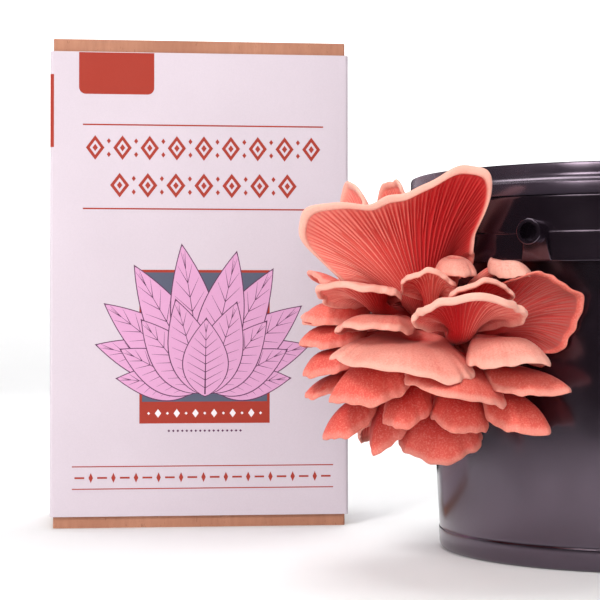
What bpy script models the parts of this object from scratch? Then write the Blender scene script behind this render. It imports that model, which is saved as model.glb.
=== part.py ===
"""Oyster mushroom grow kit: a closed bucket of coffee grounds with a cluster of pink oyster
mushrooms growing from a hole in its wall, and the sleeved carton that the kit comes in.
Metres, +Z up. The origin is the centre of the bucket's base, and the front is -Y."""

from math import asin, atan2, cos, pi, radians, sin, sqrt

import bmesh
import bpy
from mathutils import Matrix, Vector

for old in list(bpy.data.objects):
    bpy.data.objects.remove(old, do_unlink=True)

GAP = 0.0004  # air between pieces that touch

# bucket: 5 litre, turned about Z
TURN_STEPS = 32
BUCKET_FOOT_R = 0.0905
BUCKET_BAND_H = 0.0100
BUCKET_BAND_STEP = 0.0004
BUCKET_WALL = 0.0016
BUCKET_TOP_R = 0.0982
GROOVE_TOP_Z = 0.1585
COLLAR_R = 0.1130
COLLAR_LOW_Z = 0.1362
COLLAR_TOP_Z = 0.1645
COLLAR_SKIN = 0.0018
RIM_R = 0.1030
RIM_WALL = 0.0020
RIM_TOP_Z = 0.1768

# lugs for a wire handle, on the collar
LUG_HEADINGS = (30.0, 210.0)  # degrees from the front towards -X
LUG_Z = 0.1486
LUG_R = 0.0056
LUG_FACE = 0.1226
LUG_BORE_R = 0.0039
LUG_BORE_DEPTH = 0.0070
PAD_WIDTH = 0.0100
PAD_FACE = 0.1160

# lid
LID_TOP_Z = 0.1796
LID_TOP_R = 0.1042
LID_SKIRT_R = 0.1106
LID_SKIRT_LOW_Z = 0.1651
LID_SKIRT_TOP_Z = 0.1705
LID_SIDE_LOW_Z = 0.1752
LID_PLUG_R = 0.1004
LID_PLUG_LOW_Z = 0.1665
LID_PANEL_Z = 0.1740
LID_WALL = 0.0017

# coffee grounds
GROUNDS_TOP_Z = 0.1560
GROUNDS_CROWN = 0.0030

# cluster: it grows out of a round hole in the wall
CLUSTER_HEADING = 60.0  # degrees from the front towards -X
CLUSTER_Z = 0.1050
CLUSTER_OUT = 0.1080  # from the bucket's axis to the middle of the base
HOLE_R = 0.0100
BASE_R = 0.0200
BASE_NECK_R = 0.0092
ROOT_GAP = 0.0005

# carton and sleeve
BOX_PLACE = Vector((-0.2120, 0.0810, 0.0))  # foot of the middle of the sleeve's front
BOX_TURN = 6.0
SLEEVE_SIZE = Vector((0.1600, 0.0790, 0.2480))
SLEEVE_LOW_Z = 0.0062
SLEEVE_BOARD = 0.0006
SLEEVE_CORNER_R = 0.0020
CARTON_SIZE = Vector((0.1565, 0.0755, 0.2610))
CARTON_BOARD = 0.0015
CARTON_EDGE = 0.0008
CARTON_SLIT = 0.0006


def material(name, color, roughness):
    made = bpy.data.materials.new(name)
    made.use_nodes = True
    shader = made.node_tree.nodes["Principled BSDF"]
    shader.inputs["Base Color"].default_value = (*color, 1.0)
    shader.inputs["Roughness"].default_value = roughness
    shader.inputs["Metallic"].default_value = 0.0
    return made


BLACK_PLASTIC = (0.020, 0.016, 0.022)
COFFEE_BROWN = (0.050, 0.028, 0.016)
KRAFT = (0.480, 0.235, 0.140)
SLEEVE_PINK = (0.840, 0.720, 0.780)
FLESH_PINK = (0.780, 0.200, 0.150)
BASE_PINK = (0.840, 0.520, 0.450)


def new_object(name, mesh_builder, color, roughness):
    mesh = bpy.data.meshes.new(name)
    mesh_builder.normal_update()
    mesh_builder.to_mesh(mesh)
    mesh_builder.free()
    made = bpy.data.objects.new(name, mesh)
    bpy.context.scene.collection.objects.link(made)
    mesh.materials.append(material(name, color, roughness))
    mesh.shade_smooth()
    mesh.set_sharp_from_angle(angle=radians(35))
    return made


def cutter(name, mesh_builder):
    made = new_object(name, mesh_builder, (0.5, 0.5, 0.5), 0.5)
    made.hide_render = True
    made.display_type = "WIRE"
    return made


def boolean(target, other, operation):
    step = target.modifiers.new(other.name, "BOOLEAN")
    step.operation = operation
    step.object = other
    step.solver = "EXACT"


def turned(profile, steps=TURN_STEPS):
    """A solid of revolution about Z. The profile is (radius, z) points, from axis to axis."""
    made = bmesh.new()
    points = [made.verts.new((r, 0.0, z)) for r, z in profile]
    edges = [made.edges.new(pair) for pair in zip(points, points[1:])]
    bmesh.ops.spin(
        made, geom=points + edges, cent=(0, 0, 0), axis=(0, 0, 1), angle=2 * pi,
        steps=steps, use_merge=True,
    )
    bmesh.ops.remove_doubles(made, verts=made.verts, dist=1e-6)
    bmesh.ops.recalc_face_normals(made, faces=made.faces)
    return made


def block(low, high):
    made = bmesh.new()
    bmesh.ops.create_cube(made, size=1.0)
    size = high - low
    bmesh.ops.scale(made, vec=size, verts=made.verts)
    bmesh.ops.translate(made, vec=(low + high) / 2, verts=made.verts)
    return made


def radial(heading):
    """The level unit vector at this heading, in degrees from the front towards -X."""
    return Vector((-sin(radians(heading)), -cos(radians(heading)), 0.0))


def rod(radius, near, far, heading, z, steps):
    """A round bar along a heading, from one distance from the axis to another."""
    made = bmesh.new()
    bmesh.ops.create_cone(
        made, cap_ends=True, segments=steps, radius1=radius, radius2=radius, depth=far - near,
    )
    out = radial(heading)
    turn = Vector((0, 0, 1)).rotation_difference(out).to_matrix().to_4x4()
    place = Matrix.Translation(out * (near + far) / 2 + Vector((0, 0, z)))
    bmesh.ops.transform(made, matrix=place @ turn, verts=made.verts)
    return made


def wall_radius(z):
    """Outer radius of the bucket's wall above the band."""
    share = (z - BUCKET_BAND_H) / (GROOVE_TOP_Z - BUCKET_BAND_H)
    low = BUCKET_FOOT_R - BUCKET_BAND_STEP
    return low + (BUCKET_TOP_R - low) * share


# ---- bucket ----

def make_bucket():
    inner_top = BUCKET_TOP_R - BUCKET_WALL
    inner_foot = BUCKET_FOOT_R - BUCKET_BAND_STEP - BUCKET_WALL
    profile = [
        (0.0, 0.0),
        (BUCKET_FOOT_R - 0.0034, 0.0),
        (BUCKET_FOOT_R - 0.0012, 0.0009),
        (BUCKET_FOOT_R - 0.0003, 0.0032),
        (BUCKET_FOOT_R, BUCKET_BAND_H),
        (BUCKET_FOOT_R - BUCKET_BAND_STEP, BUCKET_BAND_H + 0.0003),
        (BUCKET_TOP_R, GROOVE_TOP_Z),
        (COLLAR_R - COLLAR_SKIN, GROOVE_TOP_Z),
        (COLLAR_R - COLLAR_SKIN, COLLAR_LOW_Z),
        (COLLAR_R, COLLAR_LOW_Z),
        (COLLAR_R, COLLAR_TOP_Z - 0.0006),
        (COLLAR_R - 0.0006, COLLAR_TOP_Z),
        (RIM_R, COLLAR_TOP_Z),
        (RIM_R, RIM_TOP_Z),
        (RIM_R - RIM_WALL, RIM_TOP_Z),
        (RIM_R - RIM_WALL, GROOVE_TOP_Z + 0.0015),
        (inner_top, GROOVE_TOP_Z),
        (inner_foot, 0.0040),
        (inner_foot - 0.0020, 0.0020),
        (0.0, 0.0020),
    ]
    bucket = new_object("bucket", turned(profile), BLACK_PLASTIC, 0.22)
    for number, heading in enumerate(LUG_HEADINGS, 1):
        out = radial(heading)
        pad = block(
            Vector((COLLAR_R - COLLAR_SKIN * 0.7, -PAD_WIDTH / 2, COLLAR_LOW_Z + 0.0002)),
            Vector((PAD_FACE, PAD_WIDTH / 2, LUG_Z)),
        )
        turn = Vector((1, 0, 0)).rotation_difference(out).to_matrix().to_4x4()
        bmesh.ops.transform(pad, matrix=turn, verts=pad.verts)
        boolean(bucket, cutter(f"lug_pad_{number}", pad), "UNION")
        boss = rod(LUG_R, COLLAR_R - COLLAR_SKIN * 0.6, LUG_FACE, heading, LUG_Z, 16)
        boolean(bucket, cutter(f"lug_boss_{number}", boss), "UNION")
        bore = rod(LUG_BORE_R, LUG_FACE - LUG_BORE_DEPTH, LUG_FACE + 0.01, heading, LUG_Z, 12)
        boolean(bucket, cutter(f"lug_bore_{number}", bore), "DIFFERENCE")
    hole = rod(HOLE_R, BUCKET_FOOT_R - 0.01, BUCKET_TOP_R + 0.01, CLUSTER_HEADING, CLUSTER_Z, 16)
    boolean(bucket, cutter("growth_hole", hole), "DIFFERENCE")


def make_lid():
    flare = []
    flare_steps = 3
    for step in range(flare_steps + 1):
        turn = pi / 2 * step / flare_steps
        flare.append((
            LID_TOP_R + (LID_SKIRT_R - LID_TOP_R) * (1 - sin(turn)),
            LID_SKIRT_TOP_Z + (LID_SIDE_LOW_Z - LID_SKIRT_TOP_Z) * (1 - cos(turn)),
        ))
    skirt_inner = LID_SKIRT_R - 0.0014
    profile = [
        (0.0, LID_PANEL_Z),
        (LID_PLUG_R - LID_WALL - 0.0010, LID_PANEL_Z),
        (LID_PLUG_R - LID_WALL, LID_TOP_Z - 0.0004),
        (LID_PLUG_R - LID_WALL + 0.0004, LID_TOP_Z),
        (LID_TOP_R - 0.0014, LID_TOP_Z),
        (LID_TOP_R, LID_TOP_Z - 0.0014),
        *reversed(flare),
        (LID_SKIRT_R, LID_SKIRT_LOW_Z),
        (skirt_inner, LID_SKIRT_LOW_Z),
        (skirt_inner, LID_SKIRT_TOP_Z - 0.0012),
        (RIM_R + GAP, LID_SKIRT_TOP_Z + 0.0020),
        (RIM_R + GAP, RIM_TOP_Z + GAP),
        (LID_PLUG_R, RIM_TOP_Z + GAP),
        (LID_PLUG_R, LID_PLUG_LOW_Z),
        (LID_PLUG_R - LID_WALL, LID_PLUG_LOW_Z),
        (LID_PLUG_R - LID_WALL - 0.0010, LID_PANEL_Z - LID_WALL),
        (0.0, LID_PANEL_Z - LID_WALL),
    ]
    new_object("bucket_lid", turned(profile), BLACK_PLASTIC, 0.20)


def make_grounds():
    air = 0.0005
    top_r = wall_radius(GROUNDS_TOP_Z) - BUCKET_WALL - air
    foot_r = wall_radius(0.0045) - BUCKET_WALL - air
    profile = [
        (0.0, 0.0025),
        (foot_r - 0.0030, 0.0025),
        (foot_r, 0.0062),
        (top_r, GROUNDS_TOP_Z - 0.0010),
        (top_r - 0.0020, GROUNDS_TOP_Z),
        (top_r * 0.55, GROUNDS_TOP_Z + GROUNDS_CROWN * 0.7),
        (0.0, GROUNDS_TOP_Z + GROUNDS_CROWN * 0.4),
    ]
    new_object("coffee_grounds", turned(profile), COFFEE_BROWN, 0.95)


# ---- carton and sleeve ----

def box_matrix():
    return Matrix.Translation(BOX_PLACE) @ Matrix.Rotation(radians(BOX_TURN), 4, "Z")


def slab(size, low_z, set_back, round_r=0.0, round_steps=2):
    """A box standing behind the front plane, centred across it, with rounded upright edges."""
    made = block(
        Vector((-size.x / 2, set_back, low_z)),
        Vector((size.x / 2, set_back + size.y, low_z + size.z)),
    )
    if round_r:
        upright = [e for e in made.edges if abs(e.verts[0].co.z - e.verts[1].co.z) > size.z / 2]
        bmesh.ops.bevel(
            made, geom=upright, offset=round_r, segments=round_steps, profile=0.5,
            affect="EDGES",
        )
    return made


def make_carton():
    set_back = (SLEEVE_SIZE.y - CARTON_SIZE.y) / 2
    outer = slab(CARTON_SIZE, 0.0, set_back, CARTON_EDGE, 1)
    carton = new_object("box_carton", outer, KRAFT, 0.85)
    board = Vector((CARTON_BOARD, CARTON_BOARD, CARTON_BOARD))
    hollow = slab(CARTON_SIZE - 2 * board, CARTON_BOARD, set_back + CARTON_BOARD)
    cutters = [cutter("carton_hollow", hollow)]
    inner = CARTON_SIZE.x / 2 - CARTON_BOARD
    front = set_back + CARTON_BOARD
    back = set_back + CARTON_SIZE.y - CARTON_BOARD
    # each end panel is folded over from the back wall and is free along its other three edges
    for end, low, high in (("top", CARTON_SIZE.z - 0.004, CARTON_SIZE.z + 0.001),
                           ("foot", -0.001, 0.004)):
        front_slit = block(
            Vector((-inner, front, low)), Vector((inner, front + CARTON_SLIT, high))
        )
        cutters.append(cutter(f"carton_{end}_front_slit", front_slit))
        for side in (-1, 1):
            near, far = sorted((side * inner, side * (inner - CARTON_SLIT)))
            side_slit = block(Vector((near, front, low)), Vector((far, back - 0.010, high)))
            cutters.append(cutter(f"carton_{end}_slit_{'left' if side < 0 else 'right'}", side_slit))
    for cut in cutters:
        cut.matrix_world = box_matrix()
        boolean(carton, cut, "DIFFERENCE")
    carton.matrix_world = box_matrix()


def make_sleeve():
    outer = slab(SLEEVE_SIZE, SLEEVE_LOW_Z, 0.0, SLEEVE_CORNER_R, 3)
    sleeve = new_object("box_sleeve", outer, SLEEVE_PINK, 0.45)
    size = SLEEVE_SIZE - 2 * Vector((SLEEVE_BOARD, SLEEVE_BOARD, -0.002))
    hollow = slab(
        size, SLEEVE_LOW_Z - 0.002, SLEEVE_BOARD, SLEEVE_CORNER_R - SLEEVE_BOARD, 3
    )
    cut = cutter("sleeve_hollow", hollow)
    for piece in (cut, sleeve):
        piece.matrix_world = box_matrix()
    boolean(sleeve, cut, "DIFFERENCE")


# ---- mushrooms ----

def cluster_centre():
    return radial(CLUSTER_HEADING) * CLUSTER_OUT + Vector((0, 0, CLUSTER_Z))


def make_cluster_base():
    """The fused foot: a knob outside the wall, on a neck that fills the hole."""
    out = radial(CLUSTER_HEADING)
    side = out.cross(Vector((0, 0, 1)))
    wall = wall_radius(CLUSTER_Z)
    neck_end = wall - 0.0011
    back = wall + 0.0014
    rings = [  # distance from the axis, radius
        (neck_end, 0.0),
        (neck_end, BASE_NECK_R),
        (back, BASE_NECK_R),
        (back, sqrt(BASE_R ** 2 - (CLUSTER_OUT - back) ** 2)),
    ]
    for turn in (-10, 15, 40, 65):
        rings.append((CLUSTER_OUT + BASE_R * sin(radians(turn)), BASE_R * cos(radians(turn))))
    rings.append((CLUSTER_OUT + BASE_R, 0.0))
    made = bmesh.new()
    bmesh.ops.create_uvsphere(made, u_segments=16, v_segments=len(rings) - 1, radius=1.0)
    for vert in made.verts:
        ring = round((asin(max(-1.0, min(1.0, vert.co.z))) / pi + 0.5) * (len(rings) - 1))
        along, radius = rings[ring]
        level = Vector((vert.co.x, vert.co.y))
        level = level.normalized() if level.length > 1e-6 else Vector((0.0, 0.0))
        across = side * -level.x + Vector((0, 0, 1)) * level.y
        vert.co = out * along + across * radius + Vector((0, 0, CLUSTER_Z))
    bmesh.ops.recalc_face_normals(made, faces=made.faces)
    new_object("cluster_base", made, BASE_PINK, 0.75)


# how a cap's skin rises from its hub and bends over towards the rim, as shares of its size:
# slope up, roll down at the rim, sag at the sides, waves round the rim
LIFTED = (0.34, 0.26, 0.10, 0.05)
SHELF = (0.26, 0.36, 0.12, 0.04)
HANGING = (0.18, 0.52, 0.14, 0.04)
DOMED = (0.60, 0.78, 0.12, 0.03)

# behind its hub a cap's edge stays above the stem, whose upper side starts thinner
REAR_RISE = 0.08
REAR_SPREAD = 3
REAR_FLAT = 0.8

# rings of a mushroom, from the middle of the cap's skin over the rim and down the stem
SKIN_RINGS = (0.36, 0.70, 0.93)
UNDER_RINGS = (0.93, 0.58)
STEM_RINGS = ((0.0, 0.55), (0.45, 1.0), (1.0, 1.0))  # share of the stem's path, of the blend


def rear_share(turn):
    return ((1 - cos(turn)) / 2) ** REAR_SPREAD


class Mushroom:
    """A cap with its stem. Its hub and its root are given from the cluster's middle, and all
    lengths in millimetres. The lobes are their count, depth and phase round the rim."""

    def __init__(self, heading, lift, bank, hub, reach, half_width, form, seed,
                 fan=0.22, lobes=(3, 0.05, 0.0), back=0.16, root=None):
        turn, rise, roll = radians(heading), radians(lift), radians(bank)
        self.forward = Vector((-sin(turn) * cos(rise), -cos(turn) * cos(rise), sin(rise)))
        level_up = Vector((sin(turn) * sin(rise), cos(turn) * sin(rise), cos(rise)))
        level_side = level_up.cross(self.forward)
        self.up = level_up * cos(roll) + level_side * sin(roll)
        self.side = self.up.cross(self.forward)
        self.hub = cluster_centre() + Vector(hub) / 1000
        self.outward = Vector(root or hub).normalized()
        self.reach = reach / 1000
        self.half_width = half_width / 1000
        self.behind = back * self.reach
        self.size = (self.reach + self.half_width) / 2
        self.form = form
        self.seed = seed
        self.fan = fan
        self.lobes = lobes

    def skin(self, share, turn):
        """A point of the cap's upper skin, at a share of the way from the hub to the rim."""
        slope, roll, sag, wave = self.form
        roll += (slope - REAR_RISE - roll) * rear_share(turn)
        count, depth, phase = self.lobes
        lobe = 1 + depth * cos(count * turn + phase) + 0.03 * sin(6 * turn + 2.3 * self.seed)
        middle = (self.reach - self.behind) / 2
        radius = (self.reach + self.behind) / 2
        ahead = share * (middle + radius * cos(turn)) * lobe
        across = share * self.half_width * sin(turn) * (1 + self.fan * cos(turn)) * lobe
        ripple = 0.6 * sin(2 * turn + 1.7 * self.seed) + 0.5 * sin(5 * turn + 0.9 * self.seed)
        height = (
            slope * share
            - roll * share ** 3
            - sag * (share * sin(turn)) ** 2
            + wave * share ** 2.2 * ripple
        )
        return self.hub + self.forward * ahead + self.side * across + self.up * height * self.size

    def thickness(self, share):
        return max(0.0016, self.size * (0.12 - 0.08 * share))

    def under(self, share, turn):
        return self.skin(share, turn) - self.up * self.thickness(share)

    def stem_radius(self, along):
        top = max(0.0023, min(0.12 * self.size, 0.0040))
        root = max(0.0022, 0.08 * self.size)
        return top + (root - top) * along

    def stem(self, along, turn):
        """The middle of the stem, which runs from under the hub to the base, and the way out
        from there to its surface."""
        start = self.hub - self.up * (self.thickness(0) * 0.5 + self.stem_radius(0) * 0.4)
        root = cluster_centre() + self.outward * (BASE_R + ROOT_GAP)
        length = (start - root).length
        points = (
            start,
            start - self.forward * length * 0.30 - self.up * length * 0.12,
            root + self.outward * length * 0.35,
            root,
        )
        rest = 1 - along
        place = (
            points[0] * rest ** 3
            + points[1] * 3 * rest ** 2 * along
            + points[2] * 3 * rest * along ** 2
            + points[3] * along ** 3
        )
        heading = (
            (points[1] - points[0]) * rest ** 2
            + (points[2] - points[1]) * 2 * rest * along
            + (points[3] - points[2]) * along ** 2
        ).normalized()
        low = heading.cross(self.side).normalized()
        side = low.cross(heading)
        radius = self.stem_radius(along) * (1 - REAR_FLAT * rear_share(turn) * (1 - along))
        return place, (low * cos(turn) + side * sin(turn)) * radius

    def rings(self):
        """Functions of the turn, from the top pole to the root pole."""
        found = [lambda turn: self.skin(0, turn)]
        for share in SKIN_RINGS:
            found.append(lambda turn, share=share: self.skin(share, turn))
        found.append(lambda turn: (self.skin(1, turn) + self.under(1, turn)) / 2)
        for share in UNDER_RINGS:
            found.append(lambda turn, share=share: self.under(share, turn))
        for along, blend in STEM_RINGS:
            def ring(turn, along=along, blend=blend):
                place, out = self.stem(along, turn)
                return (place + out) * blend + self.under(0.3, turn) * (1 - blend)
            found.append(ring)
        found.append(lambda turn: self.stem(1, turn)[0])
        return found

    def build(self, name):
        rings = self.rings()
        last = len(rings) - 1
        steps = 16 if self.size > 0.030 else 12 if self.size > 0.0185 else 10
        made = bmesh.new()
        bmesh.ops.create_uvsphere(made, u_segments=steps, v_segments=last, radius=1.0)
        for vert in made.verts:
            ring = round((0.5 - asin(max(-1.0, min(1.0, vert.co.z))) / pi) * last)
            vert.co = rings[ring](atan2(vert.co.y, vert.co.x))
        new_object(name, made, FLESH_PINK, 0.6)


MUSHROOMS = {
    # name: heading, lift, bank (degrees), hub from the cluster's middle (x, y, z), reach,
    # half width (millimetres), form, seed
    "top_mushroom_1": Mushroom(
        30, 58, -34, (-13, -22.5, 15.6), 56, 38, LIFTED, 0.4,
        fan=0.36, lobes=(4, -0.16, -0.3), back=0.06, root=(-11, -15, 14),
    ),
    "top_mushroom_2": Mushroom(72, 68, 0, (-29, 2, 26), 42, 22, LIFTED, 1.0),
    "top_mushroom_3": Mushroom(60, 80, 0, (-18, 1, 30), 39, 16, LIFTED, 2.0),
    "top_mushroom_4": Mushroom(0, -8, 0, (1.5, -41, 30.6), 17, 9, DOMED, 3.0),
    "top_mushroom_5": Mushroom(
        -54, -4, 0, (19.5, -38.2, 29.6), 17, 9, DOMED, 4.0, root=(13, -30, 24),
    ),
    "upper_mushroom_1": Mushroom(84, 20, 0, (-38, -4, 17.5), 24, 16, LIFTED, 1.3),
    "upper_mushroom_2": Mushroom(
        42, 11, -5, (-30, -30.7, 14.1), 30.5, 19.8, LIFTED, 2.1, root=(-15, -10.4, 8),
    ),
    "upper_mushroom_3": Mushroom(
        12, 28, 0, (-8.5, -42.6, 16.2), 20.5, 12, LIFTED, 0.2, root=(-3, -20, 7),
    ),
    "upper_mushroom_4": Mushroom(80, -2, 0, (-40.2, -12, 10.4), 23, 14.6, DOMED, 1.8),
    "upper_mushroom_5": Mushroom(
        -16, 30, 0, (9, -46, 11.2), 20, 15, LIFTED, 0.7, root=(4, -20, 9),
    ),
    "middle_mushroom_1": Mushroom(
        -8, 19, 0, (4, -47.4, 3), 35, 24, LIFTED, 2.6, root=(1, -20, 3.5),
    ),
    "middle_mushroom_2": Mushroom(
        -78, 8, 60, (18, -36, 6), 38, 21, LIFTED, 0.9, back=0.12, root=(10, -20, 5.5),
    ),
    "middle_mushroom_3": Mushroom(38, 2, 0, (-23.5, -31, 5.8), 31, 17, SHELF, 3.3),
    "middle_mushroom_4": Mushroom(86, -6, 0, (-41, -11, 1.0), 23, 15, DOMED, 0.7),
    "middle_mushroom_5": Mushroom(20, -15, 8, (-15.6, -36.2, -2.9), 34, 31, SHELF, 1.5),
    "middle_mushroom_6": Mushroom(-34, 0, 0, (15.1, -40, -6.4), 32, 19, DOMED, 2.9, back=0.11),
    "middle_mushroom_7": Mushroom(84, -14, 0, (-41, -12.5, -8.5), 24, 15, DOMED, 2.2),
    "lower_mushroom_1": Mushroom(-50, -12, 0, (20.3, -34, -14.3), 35, 18, SHELF, 0.3, back=0.13),
    "lower_mushroom_2": Mushroom(-8, -22, 12, (1, -36, -11.5), 34, 23, SHELF, 1.1),
    "lower_mushroom_3": Mushroom(51, -24, 0, (-26, -26, -8), 32, 20, HANGING, 1.9, back=0.12),
    "lower_mushroom_4": Mushroom(84, -22, 0, (-40.8, -0.6, -16.8), 24, 15, SHELF, 2.4),
    "bottom_mushroom_1": Mushroom(-52, -24, 0, (21, -30, -23), 30, 15, HANGING, 0.6),
    "bottom_mushroom_2": Mushroom(-8, -36, 0, (4.5, -29, -21), 26, 13, HANGING, 1.7),
    "bottom_mushroom_3": Mushroom(25, -36, 0, (-16, -28, -19.5), 25, 11, HANGING, 2.8),
    "bottom_mushroom_4": Mushroom(5, -57, 0, (-2.5, -18, -30), 26, 19, HANGING, 3.4),
    "bottom_mushroom_5": Mushroom(60, -55, 0, (-23, -12.8, -25.8), 28, 11, HANGING, 0.1),
    "bottom_mushroom_6": Mushroom(80, -34, 0, (-33.5, -4, -25.5), 28, 14, HANGING, 1.2),
    "back_mushroom_1": Mushroom(120, 37, 0, (-29, 16, 20), 29, 16, LIFTED, 0.5),
    "back_mushroom_2": Mushroom(114, 8, 0, (-35, 14, 6.5), 30, 16, SHELF, 1.4),
    "back_mushroom_3": Mushroom(118, -16, 0, (-33, 15, -6.5), 30, 18, SHELF, 2.5),
    "back_mushroom_4": Mushroom(126, -44, 0, (-23, 15, -25), 28, 14, HANGING, 3.6),
    "back_mushroom_5": Mushroom(158, 4, 0, (-27, 38, 3), 25, 17, SHELF, 0.8),
    "back_mushroom_6": Mushroom(150, 28, 0, (-25, 30, 17), 26, 17, LIFTED, 1.6),
    "back_mushroom_7": Mushroom(158, -30, 0, (-25, 31, -16), 25, 15, HANGING, 2.7),
}


def make_mushrooms():
    for name, mushroom in MUSHROOMS.items():
        mushroom.build(name)


make_bucket()
make_lid()
make_grounds()
make_carton()
make_sleeve()
make_cluster_base()
make_mushrooms()
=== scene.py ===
from math import cos, hypot, pi, radians, sin

import bmesh
import bpy
import numpy as np
from mathutils import Matrix, Vector
from mathutils.geometry import delaunay_2d_cdt


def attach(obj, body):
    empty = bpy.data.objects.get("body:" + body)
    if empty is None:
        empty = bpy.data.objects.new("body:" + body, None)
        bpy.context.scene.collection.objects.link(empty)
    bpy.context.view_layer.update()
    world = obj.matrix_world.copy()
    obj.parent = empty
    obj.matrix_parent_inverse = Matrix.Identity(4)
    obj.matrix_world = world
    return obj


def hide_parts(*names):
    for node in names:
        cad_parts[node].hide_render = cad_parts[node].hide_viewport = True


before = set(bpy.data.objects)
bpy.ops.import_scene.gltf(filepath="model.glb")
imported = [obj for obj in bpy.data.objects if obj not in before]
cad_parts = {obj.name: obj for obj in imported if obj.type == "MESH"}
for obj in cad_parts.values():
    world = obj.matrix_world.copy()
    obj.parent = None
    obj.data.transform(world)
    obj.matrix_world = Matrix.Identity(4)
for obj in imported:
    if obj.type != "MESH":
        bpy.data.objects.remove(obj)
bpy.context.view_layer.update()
print("frame loaded:", len(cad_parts), "nodes")


def clearSelection():
    if bpy.context.object and bpy.context.object.mode != "OBJECT":
        bpy.ops.object.mode_set(mode="OBJECT")
    bpy.ops.object.select_all(action="DESELECT")


def nameActive(name):
    piece = bpy.context.object
    piece.name = name
    piece.data.name = name
    return piece


def selectOnly(piece):
    clearSelection()
    piece.select_set(True)
    bpy.context.view_layer.objects.active = piece


def applyPlace(piece):
    selectOnly(piece)
    bpy.ops.object.transform_apply(location=True, rotation=True, scale=True)


def applyModifiers(piece):
    selectOnly(piece)
    for step in list(piece.modifiers):
        bpy.ops.object.modifier_apply(modifier=step.name)


def bevelled(piece, width, segments=2, angle=30):
    step = piece.modifiers.new("edges", "BEVEL")
    step.width = width
    step.segments = segments
    step.limit_method = "ANGLE"
    step.angle_limit = radians(angle)
    step.harden_normals = False
    applyModifiers(piece)


def smoothed(piece, angle=35):
    selectOnly(piece)
    bpy.ops.object.shade_smooth_by_angle(angle=radians(angle))


def dress(piece, material):
    piece.data.materials.clear()
    piece.data.materials.append(material)


def cutOrJoin(piece, other, operation):
    step = piece.modifiers.new("other", "BOOLEAN")
    step.operation = operation
    step.solver = "EXACT"
    step.object = other
    applyModifiers(piece)
    bpy.data.objects.remove(other, do_unlink=True)


def editEdges():
    bpy.ops.object.mode_set(mode="EDIT")
    bpy.ops.mesh.select_mode(type="EDGE")
    bpy.ops.mesh.select_all(action="SELECT")


# carries the selected ring on from the first (radius, z) to each of the others
def extrudeRing(profile):
    radius, height = profile[0]
    for nextRadius, nextHeight in profile[1:]:
        bpy.ops.mesh.extrude_edges_move(
            TRANSFORM_OT_translate={"value": (0, 0, nextHeight - height)})
        ratio = nextRadius / radius
        bpy.ops.transform.resize(
            value=(ratio, ratio, 1), center_override=(0, 0, nextHeight))
        radius, height = nextRadius, nextHeight


# a closed solid whose profile's (radius, z) run from the first disc to the last
def turnedPiece(name, profile, sides=192):
    radius, height = profile[0]
    clearSelection()
    bpy.ops.mesh.primitive_circle_add(
        vertices=sides, radius=radius, fill_type="NGON", location=(0, 0, height))
    piece = nameActive(name)
    applyPlace(piece)
    editEdges()
    extrudeRing(profile)
    bpy.ops.mesh.edge_face_add()
    bpy.ops.mesh.select_all(action="SELECT")
    bpy.ops.mesh.normals_make_consistent(inside=False)
    bpy.ops.object.mode_set(mode="OBJECT")
    return piece


# a heading of 0 degrees points to the camera, and one of 90 to the left
def radial(heading):
    return Vector((-sin(radians(heading)), -cos(radians(heading)), 0.0))


# a round bar along a heading, from one distance from the axis to another
def bar(radius, near, far, heading, height, sides=48):
    out = radial(heading)
    clearSelection()
    bpy.ops.mesh.primitive_cylinder_add(
        vertices=sides, radius=radius, depth=far - near,
        location=out * (near + far) / 2 + Vector((0, 0, height)),
        rotation=Vector((0, 0, 1)).rotation_difference(out).to_euler())
    piece = nameActive("bar")
    applyPlace(piece)
    return piece


def standsFor(piece, slot, *nodes):
    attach(piece, "root")
    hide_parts(*nodes)


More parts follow.
